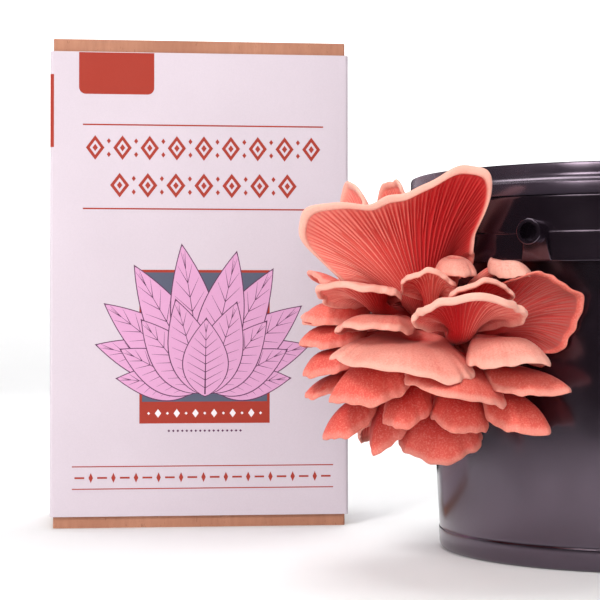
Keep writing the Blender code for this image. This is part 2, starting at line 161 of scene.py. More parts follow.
# a material being put together, with a short name for each step
class Finish:
    def __init__(self, name, roughness=0.5, specular=0.5):
        self.material = bpy.data.materials.new(name)
        self.material.use_nodes = True
        self.tree = self.material.node_tree
        self.shader = self.tree.nodes["Principled BSDF"]
        self.shader.inputs["Roughness"].default_value = roughness
        self.shader.inputs["Specular IOR Level"].default_value = specular
        self.place = self.tree.nodes.new("ShaderNodeTexCoord").outputs["Object"]

    def add(self, kind, values=(), **settings):
        made = self.tree.nodes.new(kind)
        for key, value in settings.items():
            setattr(made, key, value)
        for key, value in dict(values).items():
            if isinstance(value, bpy.types.NodeSocket):
                self.tree.links.new(value, made.inputs[key])
            else:
                made.inputs[key].default_value = value
        return made

    def stretched(self, scale, place=None):
        return self.add("ShaderNodeMapping", {
            "Vector": place or self.place, "Scale": scale}).outputs["Vector"]

    def parts(self, attribute):
        whole = self.add("ShaderNodeAttribute", attribute_name=attribute)
        return self.add("ShaderNodeSeparateXYZ", {"Vector": whole.outputs["Vector"]}).outputs

    def noise(self, scale, detail, roughness=0.5, place=None):
        return self.add("ShaderNodeTexNoise", {
            "Vector": place or self.place, "Scale": scale, "Detail": detail,
            "Roughness": roughness}).outputs["Fac"]

    def spread(self, value, low, high, toLow=0.0, toHigh=1.0, soft=False):
        return self.add("ShaderNodeMapRange", {
            "Value": value, "From Min": low, "From Max": high, "To Min": toLow,
            "To Max": toHigh},
            interpolation_type="SMOOTHSTEP" if soft else "LINEAR").outputs["Result"]

    def math(self, operation, first, second=0.0):
        return self.add("ShaderNodeMath", {0: first, 1: second}, operation=operation).outputs[0]

    def times(self, first, second):
        return self.math("MULTIPLY", first, second)

    def mix(self, share, first, second):
        made = self.add("ShaderNodeMix", data_type="RGBA")
        # a colour mix has its share at 0 and its two colours at 6 and 7
        for index, value in ((0, share), (6, first), (7, second)):
            if isinstance(value, bpy.types.NodeSocket):
                self.tree.links.new(value, made.inputs[index])
            else:
                made.inputs[index].default_value = value if index == 0 else (*value, 1.0)
        return made.outputs[2]

    # lays colours over one another, each on a share of what is below it
    def layers(self, color, *rows):
        for share, upper in rows:
            color = self.mix(share, color, upper)
        return color

    def bump(self, height, strength, distance, normal=None):
        values = {"Height": height, "Strength": strength, "Distance": distance}
        if normal:
            values["Normal"] = normal
        return self.add("ShaderNodeBump", values).outputs["Normal"]

    def use(self, **sockets):
        names = {"color": "Base Color", "roughness": "Roughness", "normal": "Normal"}
        for key, value in sockets.items():
            self.tree.links.new(value, self.shader.inputs[names[key]])
        return self.material

    def fixed(self, **values):
        for key, value in values.items():
            self.shader.inputs[key.replace("_", " ")].default_value = value


# a screen colour, 0 to 255, as light
def linear(red, green, blue):
    shares = (red / 255, green / 255, blue / 255)
    return tuple(share / 12.92 if share <= 0.04045 else ((share + 0.055) / 1.055) ** 2.4
                 for share in shares)


cameraPlace = {
    "location": (-0.1586, -0.831, 0.1105),
    "lens": 102.0,
    "sensor": 36.0,
    "pitch": 90 + 0.701,  # degrees from straight down
    "clipEnd": 50,
}


def makeCamera():
    data = bpy.data.cameras.new("camera")
    data.lens = cameraPlace["lens"]
    data.sensor_width = cameraPlace["sensor"]
    data.clip_end = cameraPlace["clipEnd"]
    camera = bpy.data.objects.new("camera", data)
    camera.location = cameraPlace["location"]
    camera.rotation_euler = (radians(cameraPlace["pitch"]), 0, 0)
    bpy.context.scene.collection.objects.link(camera)
    bpy.context.scene.camera = camera


lights = {
    # name: place, aimed at, width, height, watts, colour
    "keySoftbox": ((-1.20, -1.85, 1.72), (-0.08, 0.0, 0.10), 0.60, 0.60, 39.0,
                   (1.0, 0.985, 0.97)),
    "frontFill": ((-0.50, -2.30, 0.55), (-0.08, 0.0, 0.10), 1.0, 0.7, 9.0, (1.0, 0.98, 0.97)),
    "topSoftbox": ((-0.20, 0.35, 1.50), (-0.08, 0.0, 0.08), 1.0, 0.8, 13.0, (1.0, 0.99, 0.98)),
    "rightStrip": ((1.10, -0.60, 0.80), (0.0, 0.0, 0.12), 0.30, 1.0, 2.0, (0.97, 0.97, 1.0)),
    "rearSoftbox": ((0.10, 1.40, 1.30), (0.0, 0.9, 0.05), 1.2, 0.9, 10.0, (1.0, 1.0, 1.0)),
}
studio = {
    "skyColor": (0.96, 0.97, 1.0), "skyStrength": 0.16, "viewTransform": "Standard",
    "floorSides": 96, "floorRadius": 1.9, "coveRadius": 0.8, "coveSteps": 12, "wallTop": 2.4,
    "paperTones": ((0.84, 0.84, 0.845), (0.87, 0.87, 0.872)),
    "glowTop": 0.5, "wallGlow": 0.26, "wallSeen": 0.60,  # the wall's own light
    "darkRadius": 0.39, "darkHeight": 0.60, "darkLift": 0.0005,  # the black card
    "feltTones": ((0.004, 0.004, 0.004), (0.010, 0.010, 0.010)),
}


def makeLights():
    for name, (place, target, width, height, power, color) in lights.items():
        data = bpy.data.lights.new(name, "AREA")
        data.shape = "RECTANGLE"
        data.size = width
        data.size_y = height
        data.energy = power
        data.color = color
        light = bpy.data.objects.new(name, data)
        light.location = place
        aim = Vector(target) - Vector(place)
        light.rotation_euler = aim.to_track_quat("-Z", "Y").to_euler()
        light.visible_camera = False
        light.visible_glossy = name != "frontFill"  # the plastic mirrors the others only
        bpy.context.scene.collection.objects.link(light)
    world = bpy.data.worlds.new("studio")
    world.use_nodes = True
    background = world.node_tree.nodes["Background"]
    background.inputs["Color"].default_value = (*studio["skyColor"], 1.0)
    background.inputs["Strength"].default_value = studio["skyStrength"]
    bpy.context.scene.world = world
    bpy.context.scene.view_settings.view_transform = studio["viewTransform"]


# a round floor whose edge curves up into a wall on every side
def makeFloor():
    radius, cove, steps = studio["floorRadius"], studio["coveRadius"], studio["coveSteps"]
    clearSelection()
    bpy.ops.mesh.primitive_circle_add(
        vertices=studio["floorSides"], radius=radius, fill_type="NGON")
    floor = nameActive("floor")
    editEdges()
    turns = [pi / 2 * step / steps for step in range(steps + 1)]
    path = [(radius + cove * sin(turn), cove * (1 - cos(turn))) for turn in turns]
    extrudeRing(path + [(path[-1][0], studio["wallTop"])])
    bpy.ops.object.mode_set(mode="OBJECT")
    floor.data.shade_smooth()
    finish = Finish("palePaper", roughness=0.7, specular=0.15)
    tone = finish.spread(finish.noise(3.0, 2), 0.3, 0.7)
    height = finish.add("ShaderNodeSeparateXYZ", {"Vector": finish.place}).outputs["Z"]
    finish.fixed(Emission_Color=(1.0, 1.0, 1.0, 1.0))
    seen = finish.add("ShaderNodeLightPath").outputs["Is Camera Ray"]
    glow = finish.times(finish.spread(height, 0.0, studio["glowTop"], soft=True),
                        finish.spread(seen, 0.0, 1.0, studio["wallGlow"], studio["wallSeen"]))
    finish.tree.links.new(glow, finish.shader.inputs["Emission Strength"])
    dress(floor, finish.use(color=finish.mix(tone, *studio["paperTones"])))


# a black card round the table's edge, which only the glossy plastic sees
def makeDarkRing():
    clearSelection()
    bpy.ops.mesh.primitive_cylinder_add(
        vertices=studio["floorSides"], radius=studio["darkRadius"],
        depth=studio["darkHeight"], end_fill_type="NOTHING",
        location=(0, 0, studio["darkHeight"] / 2 + studio["darkLift"]))
    ring = nameActive("blackCard")
    applyPlace(ring)
    ring.data.shade_smooth()
    finish = Finish("blackFelt", roughness=1.0, specular=0.0)
    fibre = finish.spread(finish.noise(300, 2), 0.3, 0.7)
    dress(ring, finish.use(color=finish.mix(fibre, *studio["feltTones"])))
    ring.visible_camera = False
    ring.visible_diffuse = False
    ring.visible_shadow = False
    ring.visible_transmission = False


makeCamera()
makeLights()
makeFloor()
makeDarkRing()
print("studio ready")


# the bucket and its lid are turned about the upright axis, in metres from the floor
bucket = {
    "footRadius": 0.0905, "bandHeight": 0.0100, "bandStep": 0.0004, "bandSlope": 0.0003,
    # the foot's rounding: how far in from the band, and how high
    "footCurve": ((0.0034, 0.0), (0.0019, 0.00025), (0.0012, 0.0009), (0.0006, 0.0019),
                  (0.0003, 0.0032)),
    "wall": 0.0016, "topRadius": 0.0982, "grooveTop": 0.1585, "edge": 0.00045,
    # rings close to the ends of the wall and the collar, which keep their shading straight
    "wallRings": (0.012, 0.98), "collarRing": 0.0012,
    "collarRadius": 0.1130, "collarLow": 0.1362, "collarTop": 0.1645, "collarSkin": 0.0018,
    # the mould's parting line round the collar
    "partingHeight": 0.1486, "partingRidge": 0.00012, "ridgeCrest": 0.00015,
    "ridgeFoot": 0.0004,
    "rimRadius": 0.1030, "rimWall": 0.0020, "rimTop": 0.1768, "rimSlope": 0.0015,
    "floor": 0.0020, "floorCorner": 0.0020,
    # the handle's lugs: a boss with a bore, on a pad that widens and slopes to its lower end
    "lugHeadings": (30.0, 210.0), "lugHeight": 0.1486, "lugRadius": 0.0056, "lugFace": 0.1226,
    "lugSunk": 0.0002, "lugEdge": 0.0005, "boreRadius": 0.0039, "boreDepth": 0.0070,
    "padWidth": 0.0100, "padFace": 0.1160, "padSunk": 0.0003, "padLift": 0.0002,
    "padFlare": 0.0020, "padToe": 0.0003, "padEdge": 0.0006,
    "holeHeading": 60.0, "holeHeight": 0.1050, "holeRadius": 0.0100,
    "cutterSpare": 0.01,
    "roughness": 0.20,
    "tones": ((0.0060, 0.0032, 0.0056), (0.0100, 0.0060, 0.0098)),
}
lid = {
    "top": 0.1796, "topRadius": 0.1042, "rounding": 0.0014, "roundingStart": 0.0004,
    "skirtRadius": 0.1106, "skirtLow": 0.1651, "skirtTop": 0.1705, "skirtRing": 0.0010,
    "skirtSkin": 0.0014, "sideLow": 0.1752, "flareSteps": 10,
    # the seat over the bucket's rim, and how far the skirt's inner side slopes to it
    "gap": 0.0004, "slopeLow": 0.0012, "slopeHigh": 0.0020,
    "plugRadius": 0.1004, "plugLow": 0.1665, "wall": 0.0017,
    "panel": 0.1740, "panelCorner": 0.0010, "edge": 0.0003,
    "roughness": 0.24,
    # the lid's tones are lighter than the bucket's, a painted reflection on its side and flare
    "tones": ((0.0250, 0.0180, 0.0265), (0.0400, 0.0290, 0.0420)),
}
plastic = {
    "dustShare": 0.08, "dustColor": (0.20, 0.17, 0.20), "smoother": 0.05, "rougher": 0.10,
    "index": 1.62, "tint": (1.0, 0.80, 1.0, 1.0),
}


def blackPlastic(name, look):
    finish = Finish(name, roughness=look["roughness"], specular=1.0)
    smudge = finish.spread(finish.noise(14, 4, 0.6), 0.35, 0.75, soft=True)
    streak = finish.noise(60, 3, 0.55, place=finish.stretched((1, 1, 0.12)))
    dust = finish.spread(finish.noise(1400, 1), 0.72, 0.80)
    dark, light = look["tones"]
    color = finish.layers(dark, (smudge, light),
                          (finish.times(dust, plastic["dustShare"]), plastic["dustColor"]))
    rough = finish.spread(
        finish.math("ADD", finish.times(smudge, 0.6), streak), 0.4, 1.3,
        look["roughness"] - plastic["smoother"], look["roughness"] + plastic["rougher"])
    grain = finish.bump(finish.noise(1800, 2), 0.015, 0.0002)
    ripple = finish.bump(finish.noise(9, 2, place=finish.stretched((1, 1, 0.5))), 0.15, 0.0012,
                         normal=grain)
    finish.fixed(IOR=plastic["index"], Specular_Tint=plastic["tint"])
    return finish.use(color=color, roughness=rough, normal=ripple)


def bucketProfile():
    foot, top = bucket["footRadius"], bucket["topRadius"]
    collar, collarRing = bucket["collarRadius"], bucket["collarRing"]
    collarLow, collarTop = bucket["collarLow"], bucket["collarTop"]
    inCollar, ridge = collar - bucket["collarSkin"], bucket["partingRidge"]
    part, crest, slope = bucket["partingHeight"], bucket["ridgeCrest"], bucket["ridgeFoot"]
    rim, inRim = bucket["rimRadius"], bucket["rimRadius"] - bucket["rimWall"]
    inFoot = foot - bucket["bandStep"] - bucket["wall"]
    wallFoot, wallLow = foot - bucket["bandStep"], bucket["bandHeight"] + bucket["bandSlope"]
    wallRise = bucket["grooveTop"] - bucket["bandHeight"] - bucket["bandSlope"]
    return [
        *((foot - inset, height) for inset, height in bucket["footCurve"]),
        (foot, bucket["bandHeight"]),
        (wallFoot, wallLow),
        *((wallFoot + share * (top - foot + bucket["bandStep"]), wallLow + share * wallRise)
          for share in bucket["wallRings"]),
        (top, bucket["grooveTop"]),
        (inCollar, bucket["grooveTop"]),
        (inCollar, collarLow),
        (collar, collarLow),
        (collar - ridge * 0.1, collarLow + collarRing),
        (collar - ridge * 0.9, part - collarRing),
        (collar - ridge, part - slope),
        (collar, part - crest),
        (collar, part + crest),
        (collar - ridge, part + slope),
        (collar - ridge, part + collarRing),
        (collar - ridge, collarTop - collarRing),
        (collar - ridge, collarTop),
        (rim, collarTop),
        (rim, bucket["rimTop"]),
        (inRim, bucket["rimTop"]),
        (inRim, bucket["grooveTop"] + bucket["rimSlope"]),
        (top - bucket["wall"], bucket["grooveTop"]),
        (inFoot, bucket["floor"] + bucket["floorCorner"]),
        (inFoot - bucket["floorCorner"], bucket["floor"]),
    ]


def makePad(heading):
    out = radial(heading)
    near = bucket["collarRadius"] - bucket["collarSkin"] + bucket["padSunk"]
    far = bucket["padFace"]
    low, high = bucket["collarLow"] + bucket["padLift"], bucket["lugHeight"]
    clearSelection()
    bpy.ops.mesh.primitive_cube_add(
        size=1, scale=(far - near, bucket["padWidth"], high - low),
        location=out * (near + far) / 2 + Vector((0, 0, (low + high) / 2)),
        rotation=(0, 0, Vector((1, 0)).angle_signed(out.to_2d()) * -1))
    pad = nameActive("pad")
    applyPlace(pad)
    across = Vector((-out.y, out.x, 0.0))
    flare = across * bucket["padFlare"]
    for corner in pad.data.vertices:
        if corner.co.z < (low + high) / 2:
            corner.co += flare if corner.co.dot(across) > 0 else -flare
            if corner.co.dot(out) > (near + far) / 2:
                corner.co -= out * (far - bucket["collarRadius"] - bucket["padToe"])
    bevelled(pad, bucket["padEdge"], 3)
    return pad


def makeBucket(material):
    body = turnedPiece("bucketShell", bucketProfile())
    bevelled(body, bucket["edge"], angle=40)
    inCollar, face = bucket["collarRadius"] - bucket["collarSkin"], bucket["lugFace"]
    for heading in bucket["lugHeadings"]:
        cutOrJoin(body, makePad(heading), "UNION")
        boss = bar(bucket["lugRadius"], inCollar + bucket["lugSunk"], face, heading,
                   bucket["lugHeight"])
        bevelled(boss, bucket["lugEdge"], 3)
        cutOrJoin(body, boss, "UNION")
        bore = bar(bucket["boreRadius"], face - bucket["boreDepth"],
                   face + bucket["cutterSpare"], heading, bucket["lugHeight"])
        cutOrJoin(body, bore, "DIFFERENCE")
    # the hole that the cluster grows through
    hole = bar(bucket["holeRadius"], bucket["footRadius"] - bucket["cutterSpare"],
               bucket["topRadius"] + bucket["cutterSpare"], bucket["holeHeading"],
               bucket["holeHeight"])
    cutOrJoin(body, hole, "DIFFERENCE")
    dress(body, material)
    smoothed(body)
    standsFor(body, "bucket_plastic", "bucket")


def lidProfile():
    top, radius, skirt = lid["top"], lid["topRadius"], lid["skirtRadius"]
    rounding, start = lid["rounding"], lid["roundingStart"]
    # the side flares from the skirt up to the top in a quarter of an ellipse
    turns = [pi / 2 * step / lid["flareSteps"] for step in range(lid["flareSteps"] + 1)]
    flare = [(radius + (skirt - radius) * (1 - sin(turn)),
              lid["skirtTop"] + (lid["sideLow"] - lid["skirtTop"]) * (1 - cos(turn)))
             for turn in turns]
    inSkirt, inPlug = skirt - lid["skirtSkin"], lid["plugRadius"] - lid["wall"]
    seat, seatTop = bucket["rimRadius"] + lid["gap"], bucket["rimTop"] + lid["gap"]
    return [
        (inPlug - lid["panelCorner"], lid["panel"]),
        (inPlug, top - start),
        (inPlug + start, top),
        (radius - rounding, top),
        (radius - start, top - start),
        (radius, top - rounding),
        *reversed(flare),
        (skirt, lid["skirtLow"] + lid["skirtRing"]),
        (skirt, lid["skirtLow"]),
        (inSkirt, lid["skirtLow"]),
        (inSkirt, lid["skirtTop"] - lid["slopeLow"]),
        (seat, lid["skirtTop"] + lid["slopeHigh"]),
        (seat, seatTop),
        (lid["plugRadius"], seatTop),
        (lid["plugRadius"], lid["plugLow"]),
        (inPlug, lid["plugLow"]),
        (inPlug - lid["panelCorner"], lid["panel"] - lid["wall"]),
    ]


def makeLid(material):
    cover = turnedPiece("bucketCover", lidProfile())
    bevelled(cover, lid["edge"], angle=50)
    dress(cover, material)
    smoothed(cover)
    standsFor(cover, "bucket_plastic", "bucket_lid")


makeBucket(blackPlastic("bucketPlastic", bucket))
makeLid(blackPlastic("lidPlasticPaintedReflection", lid))
print("bucket and lid turned")


carton = {  # screen colours of the board
    "dark": (168, 116, 93), "light": (184, 132, 107), "fibre": (151, 99, 78),
    "fleck": (120, 76, 58),
}


def kraftBoard():
    finish = Finish("kraftBoard", roughness=0.85, specular=0.25)
    fibre = finish.noise(260, 5, 0.65, place=finish.stretched((1, 1, 0.22)))
    cloud = finish.noise(22, 3)
    fleck = finish.spread(finish.noise(900, 2, place=finish.stretched((1, 1, 0.35))), 0.66, 0.74)
    color = finish.layers(
        linear(*carton["dark"]),
        (finish.spread(cloud, 0.3, 0.7), linear(*carton["light"])),
        (finish.spread(fibre, 0.35, 0.7, 0.0, 0.5), linear(*carton["fibre"])),
        (finish.times(fleck, 0.5), linear(*carton["fleck"])))
    return finish.use(color=color, normal=finish.bump(fibre, 0.25, 0.0003))


dress(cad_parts["box_carton"], kraftBoard())


sleeve = {  # in metres, placed by the middle of its front
    "place": Vector((-0.2120, 0.0810, 0.0)), "turn": 6.0,
    "width": 0.1600, "depth": 0.0790, "low": 0.0062, "height": 0.2480,
    "board": 0.0006, "corner": 0.0020, "cornerSteps": 8, "smoothAngle": 25,
    "shade": 0.93,  # how dark the paper's mottle is
    "bandLow": 0.1968, "bandHigh": 0.2358,  # the red band round the left corner
    "seam": -0.0620, "seamSlope": 0.0002, "seamStep": 0.0003,  # the flap's edge on the back
}
printInks = {
    "sleevePink": (206, 194, 203),
    "inkRed": (164, 55, 41),
    "inkSlate": (88, 92, 111),
    "inkRose": (214, 158, 196),
    "inkPlum": (92, 48, 82),
    "inkWhite": (234, 226, 230),
}
inkOrder = list(printInks)
# the print's places, in millimetres from the middle of the sleeve's lower edge
layout = {
    "paper": (-90, 90, -10, 260),
    "tab": (-61.2, -28.4, 229.0, 247.7), "tabCorner": 3.6,  # its corners' centres and top
    "topRules": ((-62.7, 66.3, 208.7, 209.5), (-62.7, 66.3, 163.8, 164.6)),
    # two rows of nested lozenges: height, half the row's length, how many
    "ornaments": ((196.8, 58.0, 9), (176.8, 45.0, 7)), "ornamentMiddle": 1.8,
    "nested": (("inkRed", 0.34, 6.6), ("sleevePink", 0.20, 4.0), ("inkRed", 0.10, 2.0)),
    "bead": (1.1, 1.5), "beadLift": 3.6,
    "panelEdge": (-32.6, 37.3, 59.6, 131.6), "panel": (-31.2, 35.9, 61.0, 130.2),
    "middle": 2.35, "sprayFoot": 62, "sprayWidth": 4, "leafLength": 0.93, "stroke": 0.55,
    # leaves from the back to the front: heading, length, half width, lift
    "leaves": (
        (-74, 60, 10.5, 14), (74, 58, 10.5, 14), (-52, 68, 11.5, 12), (52, 66, 11.5, 12),
        (-30, 76, 11.5, 10), (30, 74, 11.5, 10), (-9, 80, 12.0, 9), (13, 77, 12.0, 9),
        (-84, 46, 9.0, 7), (84, 45, 9.0, 7), (-62, 50, 10.5, 5), (62, 49, 10.5, 5),
        (-39, 53, 11.0, 4), (39, 52, 11.0, 4), (-16, 56, 11.5, 3), (18, 55, 11.5, 3),
        (1, 44, 12.0, 2)),
    "banner": (-32.6, 37.3, 49.4, 60.4),
    # rows of lozenges: ink, first from the middle, pitch, how many, height, odd size, even size
    "bannerRow": ("inkWhite", -30, 5, 13, 54.8, (1.7, 2.3), (0.8, 0.8)),
    "beadRow": ("inkPlum", -19.2, 2.4, 17, 45.4, (0.75, 0.75), (0.75, 0.75)),
    "footRules": ((-68.3, 71.7, 26.3, 26.9), (-68.3, 71.7, 14.4, 15.0)),
    # dashes with lozenges between them
    "dashFirst": 1.7 - 66, "dashPitch": 6, "dashes": 23, "dashHalf": 2.6,
    "dashLow": 20.1, "dashHigh": 21.1, "dashLozenge": (20.6, 1.2, 2.7),
    "merge": 1e-4, "sameSpot": 0.01,  # how close points are joined, and found on the border
}
leafShape = {
    "steps": 22, "fullness": 0.8, "bluntness": 0.9, "tip": 2.4, "midrib": 0.94,
    "midribWidth": 1.5, "midribEnd": 0.12, "veins": 8, "veinPitch": 9.6, "veinRise": 0.13,
    "veinHighest": 0.97, "veinReach": 0.82, "veinWidth": 0.75, "veinEnd": 0.10,
}


# the points of a quarter circle, turning left from an angle in degrees
def quarter(x, y, radius, start, steps):
    turns = [radians(start + 90 * step / steps) for step in range(steps + 1)]
    return [(x + radius * cos(turn), y + radius * sin(turn)) for turn in turns]


def printedPaper(name, color):
    finish = Finish(name, roughness=0.45, specular=0.25)
    tone = linear(*color)
    darker = tuple(light * sleeve["shade"] for light in tone)
    mottle = finish.spread(finish.noise(1200, 2), 0.3, 0.7)
    cloud = finish.spread(finish.noise(16, 2), 0.35, 0.7)
    shade = finish.math("ADD", finish.times(mottle, 0.5), finish.times(cloud, 0.5))
    rough = finish.spread(finish.noise(70, 3), 0.3, 0.7, 0.36, 0.50)
    normal = finish.bump(finish.noise(700, 2), 0.06, 0.0002)
    return finish.use(color=finish.mix(shade, tone, darker), roughness=rough, normal=normal)


# shapes of ink laid on one another on the sleeve's front
class Print:
    def __init__(self):
        self.points = []
        self.shapes = []
        self.inks = []

    def shape(self, ink, outline):
        start = len(self.points)
        self.points.extend(outline)
        self.shapes.append(list(range(start, start + len(outline))))
        self.inks.append(inkOrder.index(ink))

    def box(self, ink, left, right, low, high):
        self.shape(ink, [(left, low), (right, low), (right, high), (left, high)])

    def lozenge(self, ink, x, y, wide, tall):
        self.shape(ink, [(x - wide, y), (x, y - tall), (x + wide, y), (x, y + tall)])

    def row(self, ink, first, pitch, count, height, odd, even):
        for step in range(count):
            x = layout["middle"] + first + pitch * step
            self.lozenge(ink, x, height, *(odd if step % 2 else even))

    # a straight stroke that narrows to its end
    def line(self, ink, start, end, width, endWidth):
        along = Vector(end) - Vector(start)
        side = Vector((-along.y, along.x)).normalized()
        near, far = side * width / 2, side * endWidth / 2
        first, last = Vector(start), Vector(end)
        self.shape(ink, [tuple(first + near), tuple(first - near), tuple(last - far),
                         tuple(last + far)])

    # a pointed leaf with a midrib and side veins
    def leaf(self, foot, heading, length, wide, stroke):
        look, turn = leafShape, radians(heading)

        def at(along, across):
            return (foot[0] + along * sin(turn) + across * cos(turn),
                    foot[1] + along * cos(turn) - across * sin(turn))

        def half(share):
            return wide * sin(pi * share ** look["fullness"]) ** look["bluntness"]

        edge = [0.02 + 0.96 * step / look["steps"] for step in range(look["steps"] + 1)]
        for ink, grow in (("inkPlum", stroke), ("inkRose", 0.0)):
            right = [at(length * share, half(share) + grow) for share in edge]
            left = [at(length * share, -half(share) - grow) for share in reversed(edge)]
            tip = at(length + grow * look["tip"], 0)
            self.shape(ink, right + [tip] + left + [at(-grow, 0)])
        self.line("inkPlum", at(1, 0), at(length * look["midrib"], 0),
                  stroke * look["midribWidth"], look["midribEnd"])
        for step in range(1, look["veins"] + 1):
            share = step / look["veinPitch"]
            reach = min(share + look["veinRise"], look["veinHighest"])
            for side in (-1, 1):
                self.line("inkPlum", at(length * share, 0),
                          at(length * reach, side * half(reach) * look["veinReach"]),
                          stroke * look["veinWidth"], look["veinEnd"])


def sleevePrint():
    art = Print()
    art.box("sleevePink", *layout["paper"])
    left, right, low, top = layout["tab"]
    corner = layout["tabCorner"]
    art.shape("inkRed", [(left - corner, top), *quarter(left, low, corner, 180, 6),
                         *quarter(right, low, corner, 270, 6), (right + corner, top)])
    for rule in layout["topRules"]:
        art.box("inkRed", *rule)
    for height, wide, count in layout["ornaments"]:
        pitch = 2 * wide / (count - 1)
        for step in range(count):
            x = layout["ornamentMiddle"] - wide + pitch * step
            for ink, share, tall in layout["nested"]:
                art.lozenge(ink, x, height, pitch * share, tall)
            if step < count - 1:
                for lift in (layout["beadLift"], -layout["beadLift"]):
                    art.lozenge("inkRed", x + pitch / 2, height + lift, *layout["bead"])
    # a spray of leaves before a slate panel, over a banner
    art.box("inkRed", *layout["panelEdge"])
    art.box("inkSlate", *layout["panel"])
    for heading, length, wide, lift in layout["leaves"]:
        x = layout["middle"] + layout["sprayWidth"] * sin(radians(heading))
        art.leaf((x, layout["sprayFoot"] + lift), heading, length * layout["leafLength"], wide,
                 layout["stroke"])
    art.box("inkRed", *layout["banner"])
    art.row(*layout["bannerRow"])
    art.row(*layout["beadRow"])
    for rule in layout["footRules"]:
        art.box("inkRed", *rule)
    for step in range(layout["dashes"]):
        x = layout["dashFirst"] + layout["dashPitch"] * step
        if step % 2:
            art.lozenge("inkRed", x, *layout["dashLozenge"])
        else:
            art.box("inkRed", x - layout["dashHalf"], x + layout["dashHalf"],
                    layout["dashLow"], layout["dashHigh"])
    return art


# the sleeve's outline from the front's right edge, round the back to its left
def sleeveOutline(inset):
    corner, steps = sleeve["corner"], sleeve["cornerSteps"]
    side, back = sleeve["width"] / 2 - corner, sleeve["depth"] - corner
    centres = ((side, corner), (side, back), (-side, back), (-side, corner))
    found = []
    for number, (x, y) in enumerate(centres):
        found += quarter(x, y, corner - inset, 90 * number - 90, steps)
        if number == 1:
            found.append((sleeve["seam"] + sleeve["seamSlope"], sleeve["depth"] - inset))
            found.append((sleeve["seam"], sleeve["depth"] - inset - sleeve["seamStep"]))
    return found


# fills the front inside its border with faces split along the edges of its inks
def printFront(made, border, low):
    art = sleevePrint()
    edgePoints = [(corner.co.x * 1000, (corner.co.z - low) * 1000) for corner in border]
    points = [Vector(point) for point in edgePoints + art.points]
    shapes = [list(range(len(edgePoints)))]
    shapes += [[index + len(edgePoints) for index in shape] for shape in art.shapes]
    found = delaunay_2d_cdt(points, [], shapes, 0, layout["merge"])
    spots, faces, sources = found[0], found[2], found[5]
    placed = {}
    for face, parents in zip(faces, sources):
        if 0 not in parents or len(face) < 3:
            continue
        ink = max((parent for parent in parents if parent > 0), default=1)
        corners = []
        for index in face:
            if index not in placed:
                spot = spots[index]
                near = [corner for corner, (x, y) in zip(border, edgePoints)
                        if hypot(spot.x - x, spot.y - y) < layout["sameSpot"]]
                placed[index] = near[0] if near else made.verts.new(
                    (spot.x / 1000, 0.0, low + spot.y / 1000))
            if placed[index] not in corners:
                corners.append(placed[index])
        if len(corners) > 2:
            made.faces.new(corners).material_index = art.inks[ink - 1]


def makeSleeve():
    low = sleeve["low"]
    levels = [low, low + sleeve["bandLow"], low + sleeve["bandHigh"], low + sleeve["height"]]
    made = bmesh.new()
    outer, inner = (
        [[made.verts.new((x, y, z)) for z in levels] for x, y in sleeveOutline(inset)]
        for inset in (0.0, sleeve["board"]))
    count = len(outer)
    bandStart = count - 2 * (sleeve["cornerSteps"] + 1) - 1  # at the seam
    for wall, flip in ((outer, False), (inner, True)):
        for index in range(count - 1):
            for level in range(3):
                corners = [wall[index][level], wall[index + 1][level],
                           wall[index + 1][level + 1], wall[index][level + 1]]
                face = made.faces.new(reversed(corners) if flip else corners)
                if not flip and level == 1 and index >= bandStart:
                    face.material_index = inkOrder.index("inkRed")
    for level in (0, 3):
        for index in range(count):
            after = (index + 1) % count
            corners = [outer[index][level], inner[index][level], inner[after][level],
                       outer[after][level]]
            made.faces.new(corners if level == 0 else reversed(corners))
    made.faces.new(inner[-1] + inner[0][::-1])
    printFront(made, outer[0] + outer[-1][::-1], low)
    bmesh.ops.recalc_face_normals(made, faces=made.faces)
    mesh = bpy.data.meshes.new("printedSleeve")
    made.to_mesh(mesh)
    made.free()
    piece = bpy.data.objects.new("printedSleeve", mesh)
    bpy.context.scene.collection.objects.link(piece)
    mesh.transform(Matrix.Translation(sleeve["place"])
                   @ Matrix.Rotation(radians(sleeve["turn"]), 4, "Z"))
    for ink, color in printInks.items():
        mesh.materials.append(printedPaper(ink, color))
    smoothed(piece, sleeve["smoothAngle"])
    standsFor(piece, "printed_sleeve", "box_sleeve")


makeSleeve()
print("box dressed")


cluster = {
    "heading": 60.0, "out": 0.1080, "height": 0.1050,
    "baseRadius": 0.0200, "rootGap": 0.0005,
    "heartShade": (0.018, 0.072),  # how far from the middle the painted shade of the red heart starts and stops to fade
}
# how a cap's skin rises from its hub and bends over: slope, roll, sag, waves
lifted = (0.34, 0.26, 0.10, 0.05)
shelf = (0.26, 0.36, 0.12, 0.04)
hanging = (0.18, 0.52, 0.14, 0.04)
domed = (0.60, 0.78, 0.12, 0.03)
